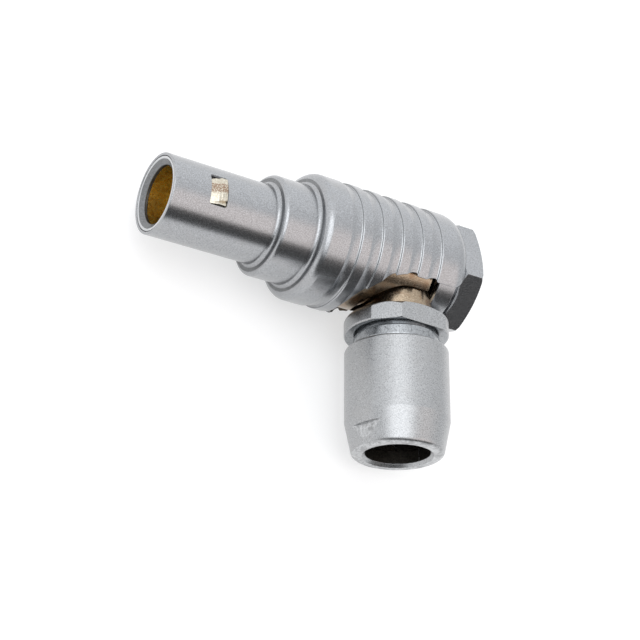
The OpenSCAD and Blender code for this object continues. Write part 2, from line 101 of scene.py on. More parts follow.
def spinRing(points, axis="plug", steps=spinSteps):
    # closed outline of (distance along the axis, radius), spun once round the axis;
    # long runs get a point close to each end, so that they stay flat when shaded
    outline = []
    for i, start in enumerate(points):
        end = points[(i + 1) % len(points)]
        outline.append(start)
        run = math.dist(start, end)
        if run > 0.25 and min(start[1], end[1]) > 1:
            for part in (0.04 / run, 1 - 0.04 / run):
                outline.append(tuple(a + (b - a) * part for a, b in zip(start, end)))
    mesh = bmesh.new()
    verts = []
    for along, radius in outline:
        if axis == "plug":
            verts.append(mesh.verts.new((along, 0, radius)))
        else:
            verts.append(mesh.verts.new((elbowX + radius, -along, 0)))
    edges = [mesh.edges.new((verts[i], verts[(i + 1) % len(verts)])) for i in range(len(verts))]
    centre = (0, 0, 0) if axis == "plug" else (elbowX, 0, 0)
    direction = (1, 0, 0) if axis == "plug" else (0, 1, 0)
    bmesh.ops.spin(mesh, geom=verts + edges, cent=centre, axis=direction, dvec=(0, 0, 0),
                   angle=2 * math.pi, steps=steps, use_merge=True, use_duplicate=False)
    bmesh.ops.remove_doubles(mesh, verts=mesh.verts, dist=0.0005)
    bmesh.ops.dissolve_degenerate(mesh, edges=mesh.edges, dist=0.0002)
    bmesh.ops.recalc_face_normals(mesh, faces=mesh.faces)
    return mesh


def asObject(name, mesh):
    data = bpy.data.meshes.new(name)
    mesh.to_mesh(data)
    mesh.free()
    piece = bpy.data.objects.new(name, data)
    bpy.context.scene.collection.objects.link(piece)
    return piece


def blockCutter(low, high):
    mesh = bmesh.new()
    bmesh.ops.create_cube(mesh, size=1)
    bmesh.ops.scale(mesh, vec=Vector(high) - Vector(low), verts=mesh.verts)
    bmesh.ops.translate(mesh, vec=(Vector(high) + Vector(low)) / 2, verts=mesh.verts)
    return asObject("cutter", mesh)


def rodCutter(start, end, radius, steps=128):
    mesh = bmesh.new()
    bmesh.ops.create_cone(mesh, cap_ends=True, cap_tris=False, segments=steps,
                          radius1=radius, radius2=radius, depth=(Vector(end) - Vector(start)).length)
    way = (Vector(end) - Vector(start)).normalized()
    bmesh.ops.rotate(mesh, cent=(0, 0, 0), verts=mesh.verts,
                     matrix=way.to_track_quat("Z", "Y").to_matrix())
    bmesh.ops.translate(mesh, vec=(Vector(start) + Vector(end)) / 2, verts=mesh.verts)
    return asObject("cutter", mesh)


def combine(piece, others, operation="DIFFERENCE"):
    # booleans are applied at once, and the cutters are removed
    for other in others:
        step = piece.modifiers.new("combine", "BOOLEAN")
        step.operation = operation
        step.solver = "EXACT"
        step.object = other
    view = bpy.context.evaluated_depsgraph_get()
    result = bpy.data.meshes.new_from_object(piece.evaluated_get(view))
    piece.modifiers.clear()
    old = piece.data
    piece.data = result
    bpy.data.meshes.remove(old)
    for other in others:
        data = other.data
        bpy.data.objects.remove(other)
        bpy.data.meshes.remove(data)
    return piece


def finishPiece(piece, body, material, replaced=(), smoothAngle=32):
    # to metres, smooth shading with sharp creases, material, and its place in the frame
    name = piece.name
    piece.data.transform(Matrix.Scale(1 / mm, 4))
    piece.data.shade_smooth()
    piece.data.set_sharp_from_angle(angle=math.radians(smoothAngle))
    even = piece.modifiers.new("evenNormals", "WEIGHTED_NORMAL")
    even.mode = "FACE_AREA"
    even.weight = 60
    even.keep_sharp = True
    view = bpy.context.evaluated_depsgraph_get()
    old = piece.data
    piece.data = bpy.data.meshes.new_from_object(piece.evaluated_get(view))
    piece.modifiers.clear()
    bpy.data.meshes.remove(old)
    piece.data.materials.clear()
    piece.data.materials.append(material)
    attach(piece, body)
    if replaced:
        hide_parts(*replaced)
    print("piece", name, len(piece.data.polygons), "faces")
    return piece


# Materials
def newMaterial(name):
    material = bpy.data.materials.new(name)
    material.use_nodes = True
    nodes = material.node_tree.nodes
    shader = nodes["Principled BSDF"]
    return material, nodes, material.node_tree.links, shader


def noiseNode(nodes, links, scale, detail=2.0, roughness=0.5):
    place = nodes.new("ShaderNodeTexCoord")
    noise = nodes.new("ShaderNodeTexNoise")
    noise.inputs["Scale"].default_value = scale
    noise.inputs["Detail"].default_value = detail
    noise.inputs["Roughness"].default_value = roughness
    links.new(place.outputs["Object"], noise.inputs["Vector"])
    return noise


def softStep(nodes, links, source, low, high):
    step = nodes.new("ShaderNodeMapRange")
    step.interpolation_type = "SMOOTHSTEP"
    step.inputs["From Min"].default_value = low
    step.inputs["From Max"].default_value = high
    links.new(source, step.inputs["Value"])
    return step.outputs["Result"]


def mathNode(nodes, links, operation, a, b):
    node = nodes.new("ShaderNodeMath")
    node.operation = operation
    for i, value in enumerate((a, b)):
        if isinstance(value, (int, float)):
            node.inputs[i].default_value = value
        else:
            links.new(value, node.inputs[i])
    return node.outputs[0]


def metalMaterial(name, look):
    # plated metal: a grain in brightness, roughness and height, and softly rounded edges
    material, nodes, links, shader = newMaterial(name)
    shader.inputs["Metallic"].default_value = 1
    grain = noiseNode(nodes, links, look["grain"], 3, 0.6)
    patch = noiseNode(nodes, links, look.get("patch", 500), 3, 0.55)
    ramp = nodes.new("ShaderNodeValToRGB")
    ramp.color_ramp.elements[0].position = 0.36
    ramp.color_ramp.elements[1].position = 0.64
    ramp.color_ramp.elements[0].color = (*look["dark"], 1)
    ramp.color_ramp.elements[1].color = (*look["light"], 1)
    links.new(grain.outputs["Fac"], ramp.inputs["Fac"])
    tint = nodes.new("ShaderNodeMix")
    tint.data_type = "RGBA"
    tint.blend_type = "MIX"
    tint.inputs["B"].default_value = (*look["stain"], 1)
    stain = nodes.new("ShaderNodeMapRange")
    stain.inputs["From Min"].default_value = look.get("stainFrom", 0.5)
    stain.inputs["From Max"].default_value = look.get("stainTo", 0.75)
    stain.inputs["To Max"].default_value = look.get("stainAmount", 0.3)
    links.new(patch.outputs["Fac"], stain.inputs["Value"])
    links.new(stain.outputs["Result"], tint.inputs["Factor"])
    links.new(ramp.outputs["Color"], tint.inputs["A"])
    colour = tint.outputs["Result"]
    if "paintedReflectionBand" in look:
        # a brown stripe across the piece, with specks: a painted reflection, standing in for the darker
        # part of what the curved hook reflects
        place = nodes.new("ShaderNodeTexCoord")
        split = nodes.new("ShaderNodeSeparateXYZ")
        links.new(place.outputs["Object"], split.inputs[0])
        low, high = look["paintedReflectionBand"]
        afterLow = softStep(nodes, links, split.outputs["Y"], low - 0.00015, low + 0.00015)
        beforeHigh = softStep(nodes, links, split.outputs["Y"], high + 0.0001, high - 0.0001)
        inside = mathNode(nodes, links, "MULTIPLY", afterLow, beforeHigh)
        specks = noiseNode(nodes, links, 7500, 2, 0.6)
        speckled = softStep(nodes, links, specks.outputs["Fac"], 0.62, 0.45)
        inside = mathNode(nodes, links, "MULTIPLY", inside, speckled)
        brown = nodes.new("ShaderNodeMix")
        brown.data_type = "RGBA"
        brown.inputs["B"].default_value = (*look["paintedReflectionColour"], 1)
        links.new(inside, brown.inputs["Factor"])
        links.new(colour, brown.inputs["A"])
        colour = brown.outputs["Result"]
    links.new(colour, shader.inputs["Base Color"])
    rough = nodes.new("ShaderNodeMapRange")
    rough.inputs["From Min"].default_value = 0.3
    rough.inputs["From Max"].default_value = 0.7
    rough.inputs["To Min"].default_value = look["rough"][0]
    rough.inputs["To Max"].default_value = look["rough"][1]
    links.new(grain.outputs["Fac"], rough.inputs["Value"])
    links.new(rough.outputs["Result"], shader.inputs["Roughness"])
    edge = nodes.new("ShaderNodeBevel")
    edge.samples = 4
    edge.inputs["Radius"].default_value = look.get("edge", 0.00005)
    bump = nodes.new("ShaderNodeBump")
    bump.inputs["Strength"].default_value = 1
    bump.inputs["Distance"].default_value = look["height"]
    bumpGrain = noiseNode(nodes, links, look.get("bumpGrain", look["grain"] * 1.3), 2, 0.5)
    links.new(bumpGrain.outputs["Fac"], bump.inputs["Height"])
    links.new(edge.outputs["Normal"], bump.inputs["Normal"])
    links.new(bump.outputs["Normal"], shader.inputs["Normal"])
    return material


def plasticMaterial(name, light, dark, roughness):
    material, nodes, links, shader = newMaterial(name)
    grain = noiseNode(nodes, links, 3000, 3, 0.6)
    ramp = nodes.new("ShaderNodeValToRGB")
    ramp.color_ramp.elements[0].color = (*dark, 1)
    ramp.color_ramp.elements[1].color = (*light, 1)
    links.new(grain.outputs["Fac"], ramp.inputs["Fac"])
    links.new(ramp.outputs["Color"], shader.inputs["Base Color"])
    shader.inputs["Roughness"].default_value = roughness
    bump = nodes.new("ShaderNodeBump")
    bump.inputs["Distance"].default_value = 0.000004
    links.new(grain.outputs["Fac"], bump.inputs["Height"])
    links.new(bump.outputs["Normal"], shader.inputs["Normal"])
    return material


satinChrome = metalMaterial("satinChrome", {
    "light": (0.46, 0.47, 0.485), "dark": (0.3, 0.306, 0.315), "stain": (0.38, 0.372, 0.367),
    "grain": 9000, "rough": (0.2, 0.27), "height": 0.000004, "patch": 700,
    "stainAmount": 0.25, "edge": 0.00005})
blastedChrome = metalMaterial("blastedChrome", {
    "light": (0.49, 0.497, 0.505), "dark": (0.3, 0.305, 0.31), "stain": (0.38, 0.372, 0.367),
    "grain": 8500, "rough": (0.25, 0.36), "height": 0.00001, "patch": 600,
    "stainAmount": 0.25, "edge": 0.00006})
brightNickel = metalMaterial("brightNickel", {
    "light": (0.62, 0.63, 0.64), "dark": (0.5, 0.51, 0.52), "stain": (0.5, 0.5, 0.5),
    "grain": 9000, "rough": (0.1, 0.17), "height": 0.0000015, "patch": 900,
    "stainAmount": 0.3, "edge": 0.00005})
warmNickel = metalMaterial("warmNickel", {
    "light": (0.5, 0.405, 0.3), "dark": (0.27, 0.205, 0.14), "stain": (0.3, 0.19, 0.115),
    "grain": 9000, "rough": (0.16, 0.28), "height": 0.000004, "patch": 700,
    "stainAmount": 0.7, "stainFrom": 0.5, "stainTo": 0.62, "edge": 0.00004})
# its brown stripe across the hook is a painted reflection
latchNickel = metalMaterial("latchNickel", {
    "light": (0.74, 0.7, 0.6), "dark": (0.5, 0.45, 0.36), "stain": (0.5, 0.46, 0.38),
    "grain": 6500, "rough": (0.16, 0.3), "height": 0.000012, "patch": 1500,
    "stainAmount": 0.4, "edge": 0.00004, "paintedReflectionBand": (-0.00025, 0.0008), "paintedReflectionColour": (0.3, 0.2, 0.14)})
wornChrome = metalMaterial("wornChrome", {
    "light": (0.6, 0.61, 0.62), "dark": (0.36, 0.365, 0.37), "stain": (0.27, 0.275, 0.28),
    "grain": 4000, "rough": (0.25, 0.4), "height": 0.00001, "patch": 1100,
    "stainAmount": 0.8, "stainFrom": 0.5, "stainTo": 0.65, "edge": 0.00004})
# a dark warm metal; on the contact's front edge and inside the nut's bore it is painted shade
warmDark = metalMaterial("warmDark", {
    "light": (0.1, 0.09, 0.075), "dark": (0.05, 0.045, 0.04), "stain": (0.04, 0.035, 0.03),
    "grain": 5000, "rough": (0.35, 0.5), "height": 0.000004, "patch": 700,
    "stainAmount": 0.5, "edge": 0.00004})
# painted shade: a darker chrome for the sleeve's steep walls and for the bevel inside the mouth
paintedShadeChrome = metalMaterial("paintedShadeChrome", {
    "light": (0.25, 0.255, 0.26), "dark": (0.16, 0.163, 0.168), "stain": (0.2, 0.2, 0.2),
    "grain": 6000, "rough": (0.3, 0.4), "height": 0.000004, "patch": 700,
    "stainAmount": 0.3, "edge": 0.00001})
turnedChrome = metalMaterial("turnedChrome", {
    "light": (0.4, 0.415, 0.43), "dark": (0.26, 0.27, 0.28), "stain": (0.16, 0.165, 0.17),
    "grain": 7000, "rough": (0.14, 0.22), "height": 0.000004, "patch": 2500,
    "stainAmount": 0.7, "stainFrom": 0.55, "stainTo": 0.7, "edge": 0.00002})
goldPlate = metalMaterial("goldPlate", {
    "light": (0.97, 0.78, 0.32), "dark": (0.93, 0.73, 0.28), "stain": (0.84, 0.62, 0.2),
    "grain": 3000, "rough": (0.22, 0.32), "height": 0.000002, "patch": 700,
    "stainAmount": 0.5, "edge": 0.00004})
insulatorWhite = plasticMaterial("insulatorWhite", (0.78, 0.77, 0.72), (0.7, 0.69, 0.64), 0.45)
print("materials made")

# Release sleeve
sleeveSizes = {
    "noseRadius": 4.5, "noseBore": 4.18, "noseEdge": 0.12, "noseEnd": 12.85, "noseRoot": 0.42,
    "collarRadius": 5.725, "collarBore": 4.775, "collarEdge": 0.5, "collarEnd": 17.25,
    "gripRadius": 7.27, "gripBore": 6.4, "gripEdge": 1.0,
    "grooves": 5, "firstGroove": 4.6, "groovePitch": 2.68, "grooveDepth": 0.22, "grooveLength": 1.45,
    "tailRound": 1.75, "tailDrop": 0.66,
    "slotWidth": 12.0, "slotFront": 2.0,
    "grooveSteep": 0.8, "stepSteep": 0.975, "paintedShadeMargin": 0.25,
    "windowWidth": 3.5, "windowLength": 2.05, "windowStart": 4.35, "windowCorner": 0.25,
}


def grooveOutline(x, radius, depth, length):
    # a long shallow hollow that ends at a steep rear edge
    flank = 0.3
    run = length - flank
    hollow = (run * run + depth * depth) / (2 * depth)
    angle = math.degrees(math.asin(run / hollow))
    points = arcPoints((x - flank, radius - depth + hollow), hollow, 270 - angle, 270, 10)
    points += arcPoints((x - 0.2, radius - depth + 0.2), 0.2, 280, 328, 6)
    points += arcPoints((x + 0.14, radius - 0.2), 0.2, 148, 90, 7)
    return points


def buildSleeve(s):
    tailX = shellHigh.x
    tailArc = (s["tailRound"] ** 2 + s["tailDrop"] ** 2) / (2 * s["tailDrop"])
    tailAngle = math.degrees(math.asin(s["tailRound"] / tailArc))
    outline = [(shellLow.x, s["noseBore"] + 0.06)]
    outline += arcPoints((shellLow.x + s["noseEdge"], s["noseRadius"] - s["noseEdge"]),
                         s["noseEdge"], 180, 90, 6)
    outline += arcPoints((s["noseEnd"] - s["noseRoot"], s["noseRadius"] + s["noseRoot"]),
                         s["noseRoot"], 270, 360, 10)
    outline += arcPoints((s["noseEnd"] + s["collarEdge"], s["collarRadius"] - s["collarEdge"]),
                         s["collarEdge"], 180, 90, 10)
    outline += arcPoints((s["collarEnd"] - s["noseRoot"], s["collarRadius"] + s["noseRoot"]),
                         s["noseRoot"], 270, 360, 10)
    outline += arcPoints((s["collarEnd"] + s["gripEdge"], s["gripRadius"] - s["gripEdge"]),
                         s["gripEdge"], 180, 90, 16)
    for i in range(s["grooves"]):
        x = s["collarEnd"] + s["firstGroove"] + i * s["groovePitch"]
        outline += grooveOutline(x, s["gripRadius"], s["grooveDepth"], s["grooveLength"])
    outline += arcPoints((tailX - s["tailRound"], s["gripRadius"] - tailArc), tailArc,
                         90, 90 - tailAngle, 16)
    outline += [(tailX, s["gripBore"]), (s["collarEnd"] + 1.07, s["gripBore"]),
                (s["collarEnd"] + 1.07, s["collarBore"]), (s["noseEnd"] + 1.15, s["collarBore"]),
                (s["noseEnd"] + 1.15, s["noseBore"]), (shellLow.x + 0.06, s["noseBore"])]
    piece = asObject("releaseSleeve", spinRing(outline))
    slotX = elbowX - s["slotFront"]
    half = s["slotWidth"] / 2
    cutters = [rodCutter((slotX, 0, 0), (slotX, -9, 0), half, 192),
               blockCutter((slotX, -9, -half), (tailX + 1, 0, half))]
    # latch windows, top and bottom, with rounded corners
    mesh = bmesh.new()
    bmesh.ops.create_cube(mesh, size=1)
    bmesh.ops.scale(mesh, vec=(s["windowLength"], s["windowWidth"], 12), verts=mesh.verts)
    bmesh.ops.translate(mesh, vec=(s["windowStart"] + s["windowLength"] / 2, 0, 0), verts=mesh.verts)
    corners = [e for e in mesh.edges if abs(e.verts[0].co.z - e.verts[1].co.z) > 1]
    bmesh.ops.bevel(mesh, geom=corners, offset=s["windowCorner"], offset_type="OFFSET",
                    affect="EDGES", segments=5, profile=0.5, material=-1)
    cutters.append(asObject("cutter", mesh))
    combine(piece, cutters)
    finishPiece(piece, "sleeve", satinChrome, ("outer_shell",))
    # the steep walls of the grooves and steps that face the nose get a darker chrome: painted shade in
    # place of what they reflect, as the real plug has one finish there
    piece.data.materials.append(paintedShadeChrome)
    for face in piece.data.polygons:
        away = math.hypot(face.center.y, face.center.z) * mm
        onGrip = away > s["gripRadius"] - s["paintedShadeMargin"]
        steepest = s["grooveSteep"] if onGrip else s["stepSteep"]
        behindWindow = face.center.x * mm > s["windowStart"] + 0.65
        if face.normal.x < -steepest and away > s["noseRadius"] + 0.05 and behindWindow:
            face.material_index = 1
    return piece


buildSleeve(sleeveSizes)

# Rear cap
capSizes = {
    "cornerRadius": 6.93, "turn": 18.3, "frontBevel": 0.25, "rearChamfer": 0.6,
    "spigotRadius": 6.34, "spigotBore": 5.44, "spigotBevel": 0.25,
    "reliefLength": 0.35, "reliefDepth": 0.3, "shoulder": 0.2, "saddle": 3.3,
}


def buildCap(s):
    faceX = shellHigh.x
    endX = capHigh.x
    mesh = bmesh.new()
    # hexagon along the plug axis: a corner stands at the turn angle from +Z towards -Y
    bmesh.ops.create_cone(mesh, cap_ends=True, cap_tris=False, segments=6,
                          radius1=s["cornerRadius"], radius2=s["cornerRadius"], depth=endX - faceX)
    bmesh.ops.rotate(mesh, cent=(0, 0, 0), verts=mesh.verts, matrix=Matrix.Rotation(math.pi / 2, 3, "Y"))
    top = max(mesh.verts, key=lambda v: v.co.z)
    now = math.atan2(-top.co.y, top.co.z)
    bmesh.ops.rotate(mesh, cent=(0, 0, 0), verts=mesh.verts,
                     matrix=Matrix.Rotation(math.radians(s["turn"]) - now, 3, "X"))
    bmesh.ops.translate(mesh, vec=((faceX + endX) / 2, 0, 0), verts=mesh.verts)
    piece = asObject("rearCap", mesh)
    r, c = s["cornerRadius"], s["rearChamfer"]
    rounder = asObject("cutter", spinRing([
        (faceX, 0), (faceX, r - 0.45), (faceX + s["frontBevel"], r + 0.01),
        (endX - c, r + 0.01), (endX - c * 0.55, r - 0.4 * c), (endX - c / 5, r - 1.2 * c),
        (endX, r - 1.7 * c), (endX, 0)]))
    combine(piece, [rounder], "INTERSECT")
    front = capLow.x
    p, d = s["spigotRadius"], s["spigotBevel"]
    grooveX = faceX - s["shoulder"] - s["reliefLength"]
    spigot = asObject("cutter", spinRing([
        (front, s["spigotBore"]), (front, p - d), (front + d * 0.4, p - d * 0.2), (front + d, p),
        (grooveX, p), (grooveX, p - s["reliefDepth"]),
        (faceX - s["shoulder"], p - s["reliefDepth"]), (faceX - s["shoulder"], p),
        (faceX + 0.5, p - 0.5), (faceX + 0.5, s["spigotBore"])]))
    combine(piece, [spigot], "UNION")
    combine(piece, [rodCutter((front - 1, 0, 0), (faceX + 0.05, 0, 0), s["spigotBore"]),
                    rodCutter((elbowX, 0, 0), (elbowX, -14, 0), s["saddle"])])
    return finishPiece(piece, "sleeve", satinChrome, ("rear_cap",))


buildCap(capSizes)

# Latch arms
latchSizes = {
    "rise": 0.16, "noseRadius": 4.5, "armTop": 4.12, "armThick": 0.25, "width": 3.0,
    "hookBack": 0.1, "slant": 9, "pivotRadius": 0.2, "pivotX": 12.2, "pivotZ": 3.77,
}


def buildLatch(s, name, node, body, side):
    front, back = latchLow.x, latchHigh.x - s["pivotRadius"]
    crest = s["noseRadius"] + s["rise"]
    hookEnd = sleeveSizes["windowStart"] + sleeveSizes["windowLength"] - s["hookBack"]
    rampX = sleeveSizes["windowStart"] + 1.05
    bottom = s["armTop"] - s["armThick"]
    outline = [(front, bottom), (front, s["armTop"] - 0.02), (rampX, s["noseRadius"] - 0.1),
               (rampX + 0.16, crest - 0.04), (rampX + 0.22, crest),
               (hookEnd - 0.06, crest), (hookEnd, crest - 0.05),
               (hookEnd, s["armTop"]), (back, s["armTop"]), (back, bottom)]
    piece = asObject(name, spinRing(outline, steps=180))
    half = s["width"] / 2
    # keep only the arm's own strip of the ring
    mesh = bmesh.new()
    bmesh.ops.create_cube(mesh, size=1)
    bmesh.ops.scale(mesh, vec=(back - front + 2, s["width"], 6), verts=mesh.verts)
    bmesh.ops.translate(mesh, vec=((front + back) / 2, 0, 3.3), verts=mesh.verts)
    combine(piece, [asObject("cutter", mesh)], "INTERSECT")
    # the lower end of the hook is cut on a slant
    mesh = bmesh.new()
    bmesh.ops.create_cube(mesh, size=1)
    bmesh.ops.scale(mesh, vec=(3, 1, 1), verts=mesh.verts)
    bmesh.ops.translate(mesh, vec=(0, -0.5, 0), verts=mesh.verts)
    bmesh.ops.rotate(mesh, cent=(0, 0, 0), verts=mesh.verts,
                     matrix=Matrix.Rotation(math.radians(s["slant"]), 3, "Z"))
    bmesh.ops.translate(mesh, vec=(hookEnd - 0.9, -1.24, s["armTop"] + 0.53), verts=mesh.verts)
    combine(piece, [asObject("cutter", mesh)])
    root = rodCutter((s["pivotX"], -1.2, s["pivotZ"]), (s["pivotX"], 1.2, s["pivotZ"]),
                     s["pivotRadius"], 40)
    combine(piece, [root], "UNION")
    if side < 0:
        piece.data.transform(Matrix.Rotation(math.pi, 4, "X"))
    return finishPiece(piece, body, latchNickel, (node,))


buildLatch(latchSizes, "latchUpper", "latch_upper", "upper_latch", 1)
buildLatch(latchSizes, "latchLower", "latch_lower", "lower_latch", -1)

# Carrier and contact in the mouth
mouthSizes = {
    "carrierRadius": 4.12, "carrierBore": 3.47, "carrierStep": 15.1, "carrierRearRadius": 4.715,
    "carrierRearBore": 3.915, "seat": 15.2, "lip": 0.45,
    "contactRadius": 3.45, "contactBore": 3.25,
    "pocketHalf": 1.55, "windowStart": 4.3, "pivotX": 12.2, "pivotZ": 3.77,
}


def buildCarrier(s):
    start, end = carrierLow.x, carrierHigh.x
    r = s["carrierRadius"]
    outline = [(start + 0.58, s["carrierBore"]), (start + 0.56, s["carrierBore"] - 0.2),
               (start + 0.46, s["carrierBore"] - 0.2), (start + 0.4, s["carrierBore"] - 0.12),
               (start + 0.16, s["carrierBore"] + 0.24),
               (start + 0.05, s["carrierBore"] + 0.36), (start, s["carrierBore"] + 0.42)]
    outline += arcPoints((start + 0.06, r - 0.06), 0.06, 180, 90, 5)
    outline += [(s["carrierStep"], r), (s["carrierStep"], s["carrierRearRadius"] - 0.15),
                (s["carrierStep"] + 0.15, s["carrierRearRadius"]), (end, s["carrierRearRadius"]),
                (end, s["carrierRearBore"]), (s["seat"], s["carrierRearBore"]),
                (s["seat"], s["carrierBore"])]
    piece = asObject("latchCarrierTube", spinRing(outline))
    h = s["pocketHalf"]
    cutters = [blockCutter((s["windowStart"], -h, -6), (s["pivotX"] + 0.05, h, 6))]
    for side in (-1, 1):
        cutters.append(rodCutter((s["pivotX"], -1.25, side * s["pivotZ"]),
                                 (s["pivotX"], 1.25, side * s["pivotZ"]), 0.25, 40))
    combine(piece, cutters)
    finishPiece(piece, "core", brightNickel, ("latch_carrier",))
    # the bevel inside the mouth is painted darker than the rim: painted shade inside the mouth
    piece.data.materials.append(paintedShadeChrome)
    for face in piece.data.polygons:
        away = math.hypot(face.center.y, face.center.z) * mm
        if away < s["carrierBore"] + 0.3 and face.center.x * mm < start + 0.6:
            face.material_index = 1
    return piece


def buildContact(s):
    start, end = contactLow.x, contactHigh.x
    outline = [(start + 0.2, s["contactBore"]), (start, s["contactBore"] + 0.1)]
    outline += [(start, s["contactRadius"] - 0.05), (start + 0.05, s["contactRadius"]),
                (s["seat"], s["contactRadius"]), (s["seat"], s["carrierRearBore"] - 0.02),
                (end, s["carrierRearBore"] - 0.02), (end, s["contactBore"])]
    piece = asObject("goldContactTube", spinRing(outline))
    finishPiece(piece, "core", goldPlate, ("outer_contact",))
    # its front edge is in the shade of the lip
    piece.data.materials.append(warmDark)
    for face in piece.data.polygons:
        if face.center.x * mm < start + 0.35:
            face.material_index = 1
    return piece


buildCarrier(mouthSizes)
buildContact(mouthSizes)

# Inner housing and elbow
housingSizes = {
    "radius": 6.34, "bore": 5.74, "frontBore": 4.735, "front": 2.5,
    "slotWidth": 8.8, "slotFront": 1.0,
    "elbowRadius": 4.7, "elbowBore": 3.3, "collarRadius": 4.1, "collarGap": 0.4,
    "neckRadius": 3.1, "neckBore": 2.2, "neckEndRadius": 2.8,
    "flange": 2.0, "plugRadius": 3.9, "plugDepth": 1.5,
}


def buildHousing(s):
    start, end = housingLow.x, housingHigh.x
    outline = [(start, s["frontBore"]), (start, s["radius"] - 0.3), (start + 0.3, s["radius"])]
    outline += arcPoints((end - 0.08, s["radius"] - 0.08), 0.08, 90, 0, 4)
    outline += [(end, s["bore"]), (start + s["front"], s["bore"]), (start + s["front"], s["frontBore"])]
    piece = asObject("innerHousing", spinRing(outline))
    slotX = elbowX - s["slotFront"]
    half = s["slotWidth"] / 2
    combine(piece, [rodCutter((slotX, 0, 0), (slotX, -9, 0), half, 160),
                    blockCutter((slotX, -9, -half), (end + 1, 0, half))])
    return finishPiece(piece, "core", warmNickel, ("inner_housing",))


def buildElbow(s):
    start, end = elbowLow.x, elbowHigh.x
    r = s["elbowRadius"]
    piece = asObject("elbowBody", spinRing([
        (start, 0), (start, s["bore"] - 0.02), (start + s["flange"], s["bore"] - 0.02),
        (start + s["flange"], r), (end - 0.3, r), (end, r - 0.3), (end, 0)]))
    hexTop = -outletHigh.y
    neckEnd = -elbowLow.y
    neck = asObject("cutter", spinRing([
        (0, 0), (0, s["collarRadius"]), (hexTop - s["collarGap"], s["collarRadius"]),
        (hexTop - s["collarGap"], s["neckRadius"]),
        (hexTop, s["neckRadius"]), (hexTop, s["neckEndRadius"]),
        (neckEnd, s["neckEndRadius"]), (neckEnd, 0)], "elbow"))
    combine(piece, [neck], "UNION")
    combine(piece, [rodCutter((start - 1, 0, 0), (end + 1, 0, 0), s["elbowBore"]),
                    rodCutter((end - s["plugDepth"], 0, 0), (end + 1, 0, 0), s["plugRadius"]),
                    rodCutter((elbowX, 0, 0), (elbowX, -neckEnd - 1, 0), s["neckBore"])])
    return finishPiece(piece, "core", warmNickel, ("elbow_body",))


buildHousing(housingSizes)
buildElbow(housingSizes)

# Cable outlet
outletSizes = {
    "hexCorner": 5.94, "hexHeight": 1.93, "hexRise": 0.35,
    "reliefRadius": 4.88, "reliefGroove": 4.45, "reliefHeight": 1.83,
    # each flat's turn from +Z towards -X, and its distance from the elbow's axis
    "flats": [(46.3, 5.69), (-1.8, 5.06), (178.2, 5.06), (226.3, 5.69)],
    "threadRadius": 4.73, "threadEnd": 17.0, "boreRadius": 3.78, "neckRadius": 2.82, "neckEnd": 10.33,
    "nutRadius": 5.88, "nutBore": 4.78, "taperStart": 19.29, "taperRadius": 5.2,
    "endRound": 0.6, "outletRadius": 3.62, "outletChamfer": 0.35, "outletLand": 1.5,
    "colletTip": 4.12, "flatsAcross": 10.52, "flatsLength": 2.5, "flatsTurn": 76, "topEdge": 0.3,
}


def buildOutlet(s):
    top = -outletHigh.y
    hexEnd = top + s["hexHeight"]
    start = top - s["hexRise"]
    nutTop = hexEnd + s["reliefHeight"]
    r = s["hexCorner"]
    outline = [(start, 0), (start, r - 0.95), (start + 0.1, r - 0.7), (start + 0.3, r - 0.25)]
    outline += arcPoints((start + 0.75, r - 0.35), 0.35, 140, 90, 5)
    outline += arcPoints((hexEnd - 0.22, r - 0.22), 0.22, 90, 20, 5)
    outline += [(hexEnd, r - 0.4), (hexEnd, 0)]
    piece = asObject("outletFlange", spinRing(outline, "elbow"))
    cutters = []
    for angle, across in s["flats"]:
        mesh = bmesh.new()
        bmesh.ops.create_cube(mesh, size=1)
        bmesh.ops.scale(mesh, vec=(14, s["hexHeight"] + 2, 4), verts=mesh.verts)
        bmesh.ops.translate(mesh, vec=(0, -(top + hexEnd) / 2, across + 2), verts=mesh.verts)
        bmesh.ops.rotate(mesh, cent=(0, 0, 0), verts=mesh.verts,
                         matrix=Matrix.Rotation(-math.radians(angle), 3, "Y"))
        bmesh.ops.translate(mesh, vec=(elbowX, 0, 0), verts=mesh.verts)
        cutters.append(asObject("cutter", mesh))
    combine(piece, cutters)
    g, c = s["reliefGroove"], s["reliefRadius"]
    ring = [(hexEnd - 0.4, 0), (hexEnd - 0.4, g), (hexEnd + 0.26, g), (hexEnd + 0.3, g + 0.04),
            (hexEnd + 0.3, c - 0.1)]
    ring += arcPoints((hexEnd + 0.4, c - 0.1), 0.1, 180, 90, 4)
    ring += [(nutTop - 0.45, c), (nutTop - 0.3, c - 0.05), (nutTop, c - 0.05),
             (nutTop, s["threadRadius"]), (s["threadEnd"] - 0.35, s["threadRadius"]),
             (s["threadEnd"], s["threadRadius"] - 0.35), (s["threadEnd"], 0)]
    combine(piece, [asObject("cutter", spinRing(ring, "elbow"))], "UNION")
    below = -s["threadEnd"] - 1
    combine(piece, [rodCutter((elbowX, -top + 2, 0), (elbowX, below, 0), s["neckRadius"]),
                    rodCutter((elbowX, -s["neckEnd"], 0), (elbowX, below, 0), s["boreRadius"])])
    finishPiece(piece, "core", blastedChrome, ("outlet_body",))
    # the turned relief under the flange is polished
    piece.data.materials.append(turnedChrome)
    for face in piece.data.polygons:
        below = -face.center.y * mm
        if below > hexEnd - 0.02:
            face.material_index = 1
    return piece


